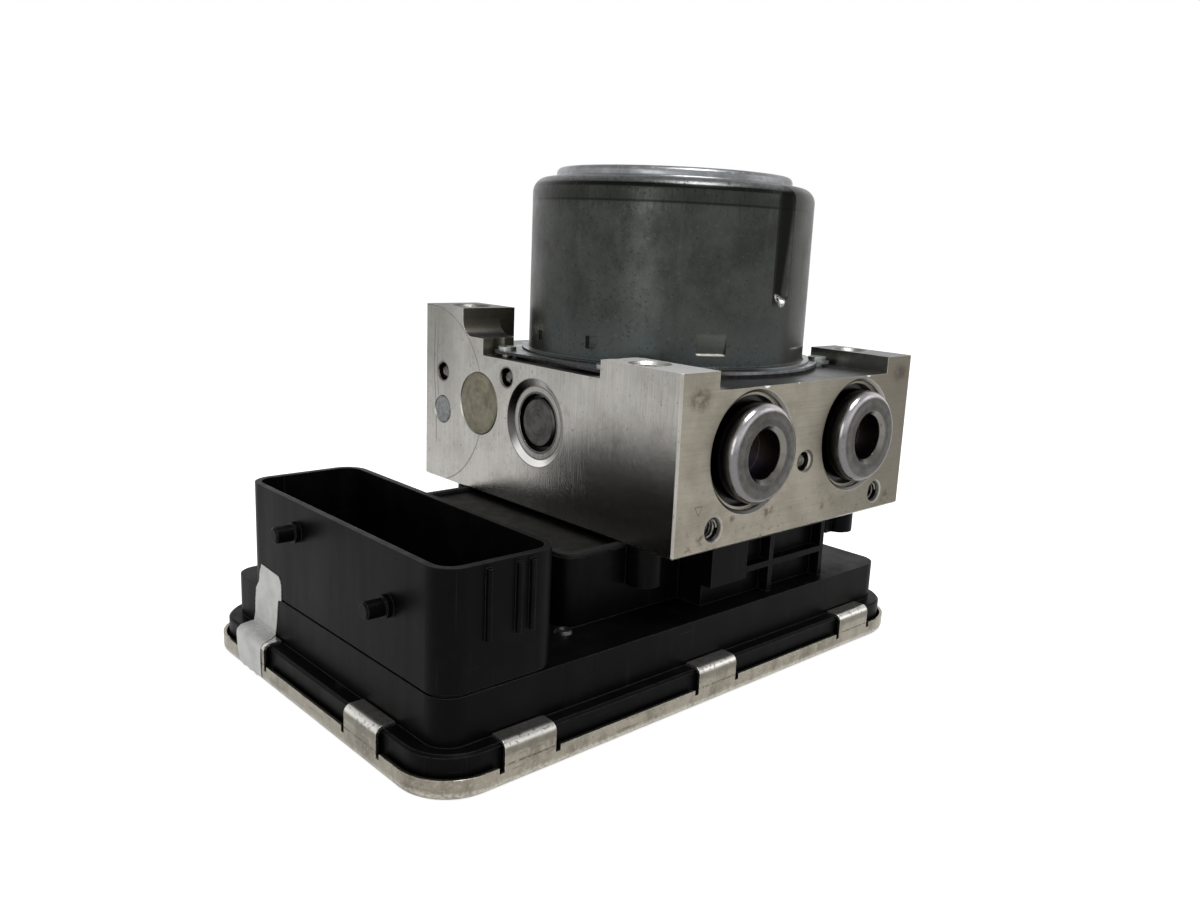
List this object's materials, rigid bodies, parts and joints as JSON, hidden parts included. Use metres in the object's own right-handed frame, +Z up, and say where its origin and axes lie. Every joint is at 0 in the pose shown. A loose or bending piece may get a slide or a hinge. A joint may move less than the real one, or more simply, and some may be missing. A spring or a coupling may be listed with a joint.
{
  "type": "abs brake module",
  "caption": "Hydraulic brake modulator: pump motor on a drilled valve block, above a moulded control unit with an open connector.",
  "frame": {"origin": "middle of the object's footprint, on the cover plate's outer face", "axes": "+X runs along the block's front face from the connector to the motor end, +Y from the accumulator caps to the rear ports, +Z up from the cover through the motor"},
  "size_m": [0.168, 0.1126, 0.1317],
  "materials": {
    "cover_sheet": "pressed sheet, satin",
    "seal_rubber": "matt",
    "black_moulding": "satin moulded",
    "tinned_pins": "tinned",
    "board_green": "solder mask",
    "component_black": "matt",
    "carrier_moulding": "satin moulded",
    "copper_wire": "enamelled copper wire",
    "zinc_steel": "zinc plated, worn",
    "machined_aluminium": "milled, stained",
    "valve_steel": "turned",
    "cap_steel": "drawn, polished by handling",
    "plug_steel": "turned",
    "soft_aluminium": "dull, oxidised",
    "motor_steel": "zinc plated, smudged",
    "bearing_steel": "ground",
    "spring_steel": "oiled",
    "magnet_ferrite": "sintered",
    "brush_carbon": "pressed carbon",
    "core_laminations": "stacked laminations",
    "ring_rubber": "oiled",
    "commutator_copper": "worn copper",
    "fastener_steel": "zinc plated"
  },
  "bodies": {
    "unit": {"cover_plate": "cover_sheet", "cover_seal": "seal_rubber", "ecu_housing": "black_moulding", "connector_pins": "tinned_pins", "circuit_board": "board_green", "board_components": "component_black", "coil_carrier": "carrier_moulding", "coil_windings": "copper_wire", "coil_yokes": "zinc_steel", "coil_terminals": "tinned_pins", "contact_carrier": "carrier_moulding", "contact_pins": "tinned_pins", "block_gasket": "seal_rubber", "ecu_screws": "fastener_steel", "housing_rivet": "fastener_steel", "valve_block": "machined_aluminium", "inlet_valves": "valve_steel", "outlet_valves": "valve_steel", "switching_valves": "valve_steel", "suction_valves": "valve_steel", "ball_plugs": "plug_steel", "damper_plugs": "soft_aluminium", "chamber_plugs": "soft_aluminium", "motor_seal": "seal_rubber", "motor_base_plate": "fastener_steel", "motor_can": "motor_steel", "motor_screws": "fastener_steel", "magnets": "magnet_ferrite", "brush_holder": "carrier_moulding", "brushes": "brush_carbon", "brush_springs": "spring_steel", "front_bearing": "bearing_steel", "rear_bearing": "bearing_steel", "shaft_end_bearing": "bearing_steel", "pump_plug_left": "plug_steel", "pump_sleeve_left": "bearing_steel", "pump_spring_left": "spring_steel", "accumulator_cap_left": "cap_steel", "accumulator_spring_left": "spring_steel", "pump_plug_right": "plug_steel", "pump_sleeve_right": "bearing_steel", "pump_spring_right": "spring_steel", "accumulator_cap_right": "cap_steel", "accumulator_spring_right": "spring_steel"},
    "rotor": {"motor_shaft": "bearing_steel", "eccentric_bearing": "bearing_steel", "armature_core": "core_laminations", "armature_windings": "copper_wire", "commutator": "commutator_copper"},
    "pump_piston_left_body": {"pump_piston_left": "bearing_steel"},
    "accumulator_piston_left_body": {"accumulator_piston_left": "soft_aluminium", "accumulator_ring_left": "ring_rubber"},
    "pump_piston_right_body": {"pump_piston_right": "bearing_steel"},
    "accumulator_piston_right_body": {"accumulator_piston_right": "soft_aluminium", "accumulator_ring_right": "ring_rubber"}
  },
  "joints": [
    {"name": "rotor_spin", "type": "hinge", "parent": "unit", "child": "rotor", "pos_m": [0.03305, 0.0017, 0.0633], "axis": [0, 0, 1], "continuous": true},
    {"name": "pump_piston_left_slide", "type": "slide", "parent": "unit", "child": "pump_piston_left_body", "axis": [1, 0, 0], "range_m": [0, 0.001], "deforming": ["pump_spring_left"]},
    {"name": "accumulator_piston_left_slide", "type": "slide", "parent": "unit", "child": "accumulator_piston_left_body", "axis": [0, -1, 0], "range_m": [0, 0.006], "stiffness_N_per_m": 1500, "springref_m": -0.002, "deforming": ["accumulator_spring_left"]},
    {"name": "pump_piston_right_slide", "type": "slide", "parent": "unit", "child": "pump_piston_right_body", "axis": [-1, 0, 0], "range_m": [0, 0.001], "deforming": ["pump_spring_right"]},
    {"name": "accumulator_piston_right_slide", "type": "slide", "parent": "unit", "child": "accumulator_piston_right_body", "axis": [0, -1, 0], "range_m": [0, 0.006], "stiffness_N_per_m": 1500, "springref_m": -0.002, "deforming": ["accumulator_spring_right"]}
  ]
}
